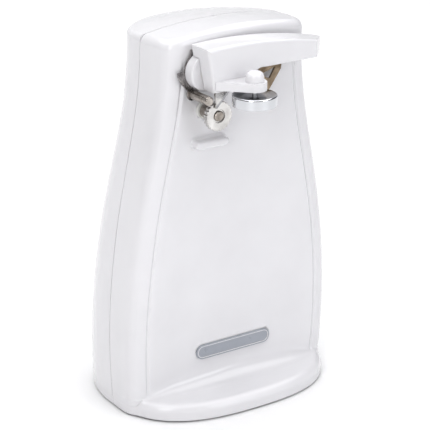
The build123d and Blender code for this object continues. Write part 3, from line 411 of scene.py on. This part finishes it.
LEDGE = (-31.5, -9.0, 161.6, 166.4)     # left, right, bottom, top
LEDGE_Y = -28.6          # the ledge's front
LEDGE_SEAT_Y = -21.9     # the panel's face under the ledge
LEDGE_BACK_Y = -19.6     # the ledge's back, buried in the shell's wall
LEDGE_ROOT = 2.0         # radius of the hollow corner round the ledge
LEDGE_EDGE = 1.8         # radius of its front edge
LEDGE_ROOT_STEPS = 6
LEDGE_EDGE_STEPS = 7
BADGE_AXIS = (0.0, 32.0)
BADGE_LENGTH = 53.0
BADGE_HEIGHT = 9.0
BADGE_SEAT_Y = -20.0
BADGE_CLEARANCE = 0.12
BADGE_CUT_Y = -26.0      # in front of the shell, where the badge seat's cut starts
HOLE_CUT_Y = (-32.0, -15.0)     # through the front wall
HUB_AXIS = (-28.0, 208.5)
WHEEL_AXIS = (-24.0, 184.0)
POST_AXIS = (-33.5, 195.3)
HOLES = ((HUB_AXIS, 8.06), (WHEEL_AXIS, 5.02), (POST_AXIS, 2.02))     # axis, radius


def build_front_shell():
    """The front shell: a hollow wall with a seat for the badge and holes for the hub, shaft and post."""
    outer = seam_lip(sink_panel(front_surface(0.0)))
    inner = front_surface(WALL)
    outer[..., 1] = np.minimum(outer[..., 1], SEAM_Y - SEAM_GAP)
    inner[..., 1] = np.minimum(inner[..., 1], SEAM_Y - SEAM_GAP)
    points, faces = shell_mesh(outer, inner)
    shell = new_piece("front_shell_moulding", points, faces, "white_plastic", "housing")
    seat = [
        slot_ring(BADGE_AXIS, BADGE_LENGTH, BADGE_HEIGHT, y, BADGE_CLEARANCE)
        for y in (BADGE_CUT_Y, BADGE_SEAT_Y)
    ]
    cut_out(shell, outline_loft("badge_seat", seat))
    for axis, radius in HOLES:
        cut_out(shell, outline_loft("hole", [disc_ring(axis, radius, y) for y in HOLE_CUT_Y]))
    smooth_shaded(shell)
    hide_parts("front_shell")
    return shell


def build_ledge():
    """The little shelf under the wheel, with a hollow root that runs out into the panel."""
    centre = ((LEDGE[0] + LEDGE[1]) / 2, (LEDGE[2] + LEDGE[3]) / 2)
    size = (LEDGE[1] - LEDGE[0], LEDGE[3] - LEDGE[2])
    rings = [slot_ring(centre, *size, LEDGE_BACK_Y, LEDGE_ROOT)]
    for i in range(LEDGE_ROOT_STEPS + 1):
        turn = pi / 2 * i / LEDGE_ROOT_STEPS
        y = LEDGE_SEAT_Y - LEDGE_ROOT * (1 - cos(turn))
        rings.append(slot_ring(centre, *size, y, LEDGE_ROOT * (1 - sin(turn))))
    for i in range(LEDGE_EDGE_STEPS + 1):
        turn = pi / 2 * i / LEDGE_EDGE_STEPS
        y = LEDGE_Y + LEDGE_EDGE * (1 - sin(turn))
        rings.append(slot_ring(centre, *size, y, -LEDGE_EDGE * (1 - cos(turn))))
    ledge = outline_loft("shell_ledge", rings[::-1])
    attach(ledge, "housing")
    smooth_shaded(ledge)
    return ledge


front_shell = build_front_shell()
ledge = build_ledge()

# ---------------------------------------------------------------- badge border and cutter blade
BORDER_INSET = (0.75, 1.25)     # the raised line inside the badge's edge
BORDER_HEIGHT = 0.12
BORDER_ROOT = 0.2               # how far the line runs back into the badge
BORDER_SHARP = 30.0             # degrees; edges sharper than this stay sharp
BLADE_OUTLINE = [
    (-28.4, 205.0),
    (-13.6, 205.0),
    (-13.6, 201.9),
    (-26.2, 189.2),
    (-27.3, 189.2),
    (-28.2, 198.0),
]
BLADE_LAND = (-27.45, 191.1)    # where the ground edge meets the blade's left side
BLADE_GROUND = 0.7              # share of the thickness ground away at the cutting edge
GROUND_FACE = 1                 # the bevel's place in the blade's list of faces


def build_badge_border():
    """A thin raised line that runs round the badge, just inside its edge."""
    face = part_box("front_badge")[0][1] / MM
    depths = (face - BORDER_HEIGHT, face + BORDER_ROOT)
    outer, inner = (
        [slot_ring(BADGE_AXIS, BADGE_LENGTH, BADGE_HEIGHT, y, -inset) for y in depths]
        for inset in BORDER_INSET
    )
    count = len(outer[0])
    faces = []
    for i in range(count):
        j = (i + 1) % count
        for a, b in ((0, 2 * count), (2 * count, 3 * count), (3 * count, count), (count, 0)):
            faces.append((a + i, a + j, b + j, b + i))
    points = np.concatenate([outer[0], outer[1], inner[0], inner[1]])
    border = new_piece("badge_border", points, faces, "white_plastic", "housing")
    smooth_shaded(border, BORDER_SHARP)
    return border


def build_blade():
    """The cutter blade with its right edge ground to a bevel on the front."""
    low, high = (corner[1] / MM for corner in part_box("cutter_blade"))
    land = [BLADE_OUTLINE[0], BLADE_OUTLINE[1], BLADE_LAND, BLADE_OUTLINE[5]]
    ground = low + BLADE_GROUND * (high - low)
    points = [(x, low, z) for x, z in land]
    points += [(x, ground, z) for x, z in BLADE_OUTLINE[2:5]]
    points += [(x, high, z) for x, z in BLADE_OUTLINE]
    faces = [
        (0, 3, 2, 1),
        (1, 2, 6, 5, 4),
        (7, 8, 9, 10, 11, 12),
        (0, 1, 8, 7),
        (1, 4, 9, 8),
        (4, 5, 10, 9),
        (5, 6, 11, 10),
        (6, 2, 3, 12, 11),
        (3, 0, 7, 12),
    ]
    blade = new_piece("ground_blade", points, faces, "polished_steel", "lever")
    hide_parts("cutter_blade")
    return blade


badge_border = build_badge_border()
blade = build_blade()

# ---------------------------------------------------------------- materials


def material(name, colour, metallic, roughness, coat=0.0):
    """A Principled material and its node tree, with constants on the shader's own sockets."""
    made = bpy.data.materials.new(name)
    made.use_nodes = True
    shader = made.node_tree.nodes["Principled BSDF"]
    shader.inputs["Base Color"].default_value = (*colour, 1)
    shader.inputs["Metallic"].default_value = metallic
    shader.inputs["Roughness"].default_value = roughness
    shader.inputs["Coat Weight"].default_value = coat
    shader.inputs["Coat Roughness"].default_value = 0.08
    return made, shader


def noise(tree, scale, detail=3.0, stretch=(1, 1, 1)):
    """Noise in the object's own space, in lumps per metre, drawn out by stretch."""
    place = tree.nodes.new("ShaderNodeTexCoord")
    mapping = tree.nodes.new("ShaderNodeMapping")
    mapping.inputs["Scale"].default_value = stretch
    tree.links.new(place.outputs["Object"], mapping.inputs["Vector"])
    texture = tree.nodes.new("ShaderNodeTexNoise")
    texture.inputs["Scale"].default_value = scale
    texture.inputs["Detail"].default_value = detail
    tree.links.new(mapping.outputs["Vector"], texture.inputs["Vector"])
    return texture.outputs["Fac"]


def ramp(tree, value, low, high, at=(0.3, 0.7)):
    """Two colours, or two greys, spread over part of a value's range."""
    node = tree.nodes.new("ShaderNodeValToRGB")
    node.color_ramp.elements[0].position = at[0]
    node.color_ramp.elements[1].position = at[1]
    node.color_ramp.elements[0].color = (*low, 1)
    node.color_ramp.elements[1].color = (*high, 1)
    tree.links.new(value, node.inputs["Fac"])
    return node.outputs["Color"]


def grey(value):
    """A neutral colour."""
    return (value, value, value)


def finish_surface(made, shader, colours, rough, grain, edge=0.0003):
    """Colour and roughness that vary, fine relief, and softened edges.

    colours: (low, high, noise output); rough: (low, high, noise output);
    grain: list of (height in metres, noise output).
    """
    tree = made.node_tree
    low, high, value = colours
    tree.links.new(ramp(tree, value, low, high), shader.inputs["Base Color"])
    low, high, value = rough
    tree.links.new(ramp(tree, value, grey(low), grey(high)), shader.inputs["Roughness"])
    normal = None
    if edge:
        bevel = tree.nodes.new("ShaderNodeBevel")
        bevel.samples = 4
        bevel.inputs["Radius"].default_value = edge
        normal = bevel.outputs["Normal"]
    for height, value in grain:
        bump = tree.nodes.new("ShaderNodeBump")
        bump.inputs["Distance"].default_value = height
        bump.inputs["Strength"].default_value = 1.0
        tree.links.new(value, bump.inputs["Height"])
        if normal:
            tree.links.new(normal, bump.inputs["Normal"])
        normal = bump.outputs["Normal"]
    if normal:
        tree.links.new(normal, shader.inputs["Normal"])
    return made


def plastic(name, low, high, rough, grain_height, grain_scale, edge=0.0004, coat=0.0):
    """Moulded plastic: a faint cloudiness in colour, varied gloss and a fine moulded skin."""
    made, shader = material(name, low, 0.0, rough[0], coat)
    tree = made.node_tree
    shader.inputs["IOR"].default_value = 1.5
    cloud = noise(tree, 28, 4)
    haze = noise(tree, 160, 5)
    skin = noise(tree, grain_scale, 2)
    waves = noise(tree, 45, 1)
    return finish_surface(
        made, shader, (low, high, cloud), (*rough, haze),
        [(grain_height, skin), (grain_height * 3, waves)], edge,
    )


def metal(name, low, high, rough, brush=(1, 1, 1), brush_scale=900, grain=0.00001, stain=40):
    """Metal: a drift of tint, smears in the gloss and brush marks drawn out one way."""
    made, shader = material(name, low, 1.0, rough[0])
    tree = made.node_tree
    tint = noise(tree, stain, 4)
    smear = noise(tree, 130, 6, brush)
    marks = noise(tree, brush_scale, 4, brush)
    return finish_surface(
        made, shader, (low, high, tint), (*rough, smear), [(grain, marks)],
    )


FINISHES = {
    "white_plastic": plastic(
        "white plastic", (0.74, 0.735, 0.75), (0.775, 0.77, 0.785), (0.16, 0.24),
        0.000004, 1400, coat=0.3),
    "inner_plastic": plastic(
        "inner plastic", (0.70, 0.70, 0.68), (0.76, 0.76, 0.74), (0.42, 0.55), 0.00001, 1800),
    "badge_plastic": plastic(
        "badge plastic", (0.36, 0.38, 0.42), (0.41, 0.43, 0.47), (0.25, 0.38), 0.000006, 1500, 0.0003),
    "gear_nylon": plastic(
        "gear nylon", (0.74, 0.71, 0.60), (0.80, 0.77, 0.67), (0.38, 0.5), 0.000008, 1500, 0.0002),
    "black_plastic": plastic(
        "black plastic", (0.025, 0.025, 0.028), (0.04, 0.04, 0.042), (0.35, 0.5), 0.00001, 1800),
    "plunger_plastic": plastic(
        "plunger plastic", (0.50, 0.05, 0.04), (0.58, 0.08, 0.06), (0.3, 0.42), 0.000008, 1500),
    "rubber": plastic(
        "rubber", (0.045, 0.045, 0.048), (0.07, 0.07, 0.072), (0.7, 0.88), 0.00003, 1200, 0.0005),
    "wire_sleeve": plastic(
        "wire sleeve", (0.04, 0.04, 0.045), (0.06, 0.06, 0.065), (0.35, 0.5), 0.00001, 900, 0.0),
    "washer_plastic": plastic(
        "washer plastic", (0.72, 0.72, 0.69), (0.78, 0.78, 0.75), (0.4, 0.5), 0.000008, 1500, 0.0002),
    "grindstone": plastic(
        "grindstone", (0.36, 0.33, 0.30), (0.62, 0.58, 0.54), (0.8, 0.95), 0.00012, 2600, 0.0002),
    "ferrite": plastic(
        "ferrite", (0.05, 0.05, 0.055), (0.09, 0.09, 0.095), (0.55, 0.75), 0.00004, 1500, 0.0003),
    "polished_steel": metal(
        "polished steel", (0.26, 0.23, 0.20), (0.62, 0.58, 0.54), (0.12, 0.30),
        (14, 14, 1), 260, 0.00002, 150),
    "chrome": metal(
        "chrome", (0.62, 0.63, 0.65), (0.78, 0.79, 0.81), (0.03, 0.09), (1, 1, 8), 300, 0.000002),
    "plain_steel": metal(
        "plain steel", (0.46, 0.47, 0.48), (0.60, 0.60, 0.60), (0.28, 0.45), (1, 1, 1), 700, 0.00001),
    "sintered_steel": metal(
        "sintered steel", (0.26, 0.25, 0.24), (0.38, 0.37, 0.35), (0.4, 0.6), (1, 1, 1), 1500, 0.00002),
    "lamination_steel": metal(
        "lamination steel", (0.20, 0.20, 0.21), (0.34, 0.34, 0.35), (0.35, 0.5), (0.1, 20, 0.1), 90, 0.00004),
    "aluminium": metal(
        "aluminium", (0.56, 0.56, 0.57), (0.70, 0.70, 0.70), (0.4, 0.6), (1, 1, 1), 900, 0.00003),
    "copper": metal(
        "copper", (0.60, 0.26, 0.10), (0.78, 0.40, 0.20), (0.25, 0.4), (30, 0.1, 0.1), 90, 0.00006),
    "bronze": metal(
        "bronze", (0.46, 0.31, 0.14), (0.62, 0.45, 0.22), (0.35, 0.5), (1, 1, 1), 1500, 0.00002),
    "brass": metal(
        "brass", (0.62, 0.47, 0.18), (0.76, 0.60, 0.28), (0.22, 0.35), (1, 1, 1), 700, 0.00001),
}


# nodes of the polished steel slot that are brighter or darker than the rest of it
SPECIAL_FINISHES = {
    "drive_wheel": metal(
        "bright nickel", (0.56, 0.545, 0.53), (0.80, 0.79, 0.77), (0.12, 0.28),
        (14, 14, 1), 260, 0.00002, 150),
    "cutter_plate": metal(
        "bronzed plate", (0.17, 0.13, 0.09), (0.38, 0.31, 0.23), (0.16, 0.30),
        (14, 14, 1), 260, 0.00002, 150),
    "guide_plate": metal(
        "brushed plate", (0.20, 0.19, 0.19), (0.50, 0.48, 0.47), (0.18, 0.34),
        (10, 1, 2), 520, 0.00004, 300),
}
GROUND_EDGE = metal(
    "ground edge", (0.30, 0.30, 0.31), (0.42, 0.42, 0.43), (0.20, 0.34), (4, 4, 4), 400, 0.00001, 200)


def dress():
    """Gives every CAD node and every piece the finish of its material slot."""
    slots = {entry["node"]: entry["material_slot"] for entry in frame["record"]["subparts"]}
    for name, node in frame["nodes"].items():
        finish = SPECIAL_FINISHES.get(name, FINISHES[slots[name]])
        for place in node.material_slots:
            place.material = finish
    for piece, slot_name in (
        (front_shell, "white_plastic"),
        (ledge, "white_plastic"),
        (badge_border, "white_plastic"),
    ):
        piece.data.materials.clear()
        piece.data.materials.append(FINISHES[slot_name])
    blade.data.materials.clear()
    blade.data.materials.append(SPECIAL_FINISHES["drive_wheel"])
    blade.data.materials.append(GROUND_EDGE)
    blade.data.polygons[GROUND_FACE].material_index = 1


dress()

# ---------------------------------------------------------------- stage and light


# metres
FLOOR_FRONT = -3.0
FLOOR_BACK = 2.0         # where the floor starts to curve up
FLOOR_HALF_WIDTH = 5.0
SWEEP_RADIUS = 1.2
SWEEP_STEPS = 12
BACKDROP_TOP = 5.0


def paper_sweep():
    """A pale floor that curves up into a backdrop far behind the object."""
    faces = []
    points = []
    profile = [(FLOOR_FRONT, 0.0), (FLOOR_BACK, 0.0)]
    for i in range(1, SWEEP_STEPS + 1):
        turn = pi / 2 * i / SWEEP_STEPS
        profile.append((FLOOR_BACK + SWEEP_RADIUS * sin(turn), SWEEP_RADIUS - SWEEP_RADIUS * cos(turn)))
    profile.append((FLOOR_BACK + SWEEP_RADIUS, BACKDROP_TOP))
    for y, z in profile:
        points += [(side * FLOOR_HALF_WIDTH / MM, y / MM, z / MM) for side in (-1, 1)]
    for i in range(len(profile) - 1):
        faces.append((2 * i, 2 * i + 1, 2 * i + 3, 2 * i + 2))
    floor = new_piece("floor", points, faces, None, None)
    made, shader = material("paper", (0.86, 0.86, 0.86), 0.0, 0.6)
    tree = made.node_tree
    fibre = noise(tree, 300, 5)
    finish_surface(
        made, shader, (grey(0.85), grey(0.88), noise(tree, 3, 3)), (0.5, 0.65, fibre),
        [(0.00002, fibre)], edge=0.0,
    )
    floor.data.materials.append(made)
    smooth_shaded(floor)


def lamp(name, place, target, size, power, colour=(1, 1, 1)):
    """A rectangular soft lamp aimed at a point."""
    data = bpy.data.lights.new(name, "AREA")
    data.shape = "RECTANGLE"
    data.size, data.size_y = size
    data.energy = power
    data.color = colour
    made = bpy.data.objects.new(name, data)
    bpy.context.scene.collection.objects.link(made)
    aim = Vector(target) - Vector(place)
    made.matrix_world = Matrix.Translation(place) @ aim.to_track_quat("-Z", "Y").to_matrix().to_4x4()


paper_sweep()
MIDDLE = (0.0, 0.0, 0.12)
lamp("overhead", (0.25, 0.35, 2.3), (0.25, 0.35, 0.0), (4.0, 4.0), 100)
lamp("key from the left", (-1.5, -1.15, 0.9), MIDDLE, (0.7, 1.3), 13, (1.0, 0.99, 0.985))
lamp("front fill", (0.7, -1.9, 0.9), MIDDLE, (1.0, 1.0), 10, (0.97, 0.98, 1.0))

world = bpy.data.worlds.new("world")
bpy.context.scene.world = world
world.use_nodes = True
world.node_tree.nodes["Background"].inputs["Color"].default_value = (0.93, 0.93, 1.0, 1)
world.node_tree.nodes["Background"].inputs["Strength"].default_value = 0.2

view = bpy.context.scene.view_settings
view.view_transform = "Standard"
view.gamma = 0.85
